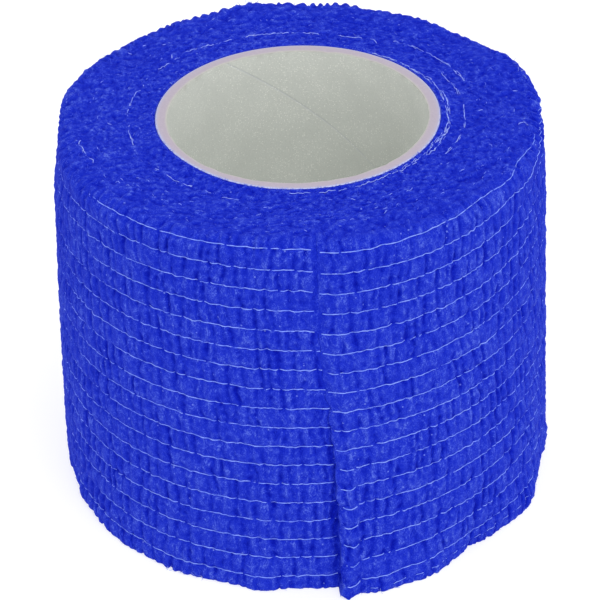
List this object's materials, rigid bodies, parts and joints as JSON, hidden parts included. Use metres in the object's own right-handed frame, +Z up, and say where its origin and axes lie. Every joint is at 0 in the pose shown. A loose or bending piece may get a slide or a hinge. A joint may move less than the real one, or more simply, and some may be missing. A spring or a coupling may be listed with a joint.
{
  "type": "cohesive bandage roll",
  "caption": "Roll of ribbed elastic cohesive crepe bandage wound on a paperboard tube, standing on its end face, with its cut end stuck down on the outside.",
  "frame": {"origin": "on the base, at the centre of the footprint's bounding box, less than 1 mm from the roll's axis", "axes": "+Z up along the roll's axis; the cut end of the strip faces -Y"},
  "size_m": [0.0628, 0.0642, 0.05],
  "materials": {
    "cohesive_crepe": "matt crinkled nonwoven in royal blue with fine pale elastic threads",
    "paperboard": "matt grey-white paperboard with a pinkish cut rim"
  },
  "bodies": {
    "root": {"bandage_roll": "cohesive_crepe", "core_tube": "paperboard"}
  },
  "joints": []
}
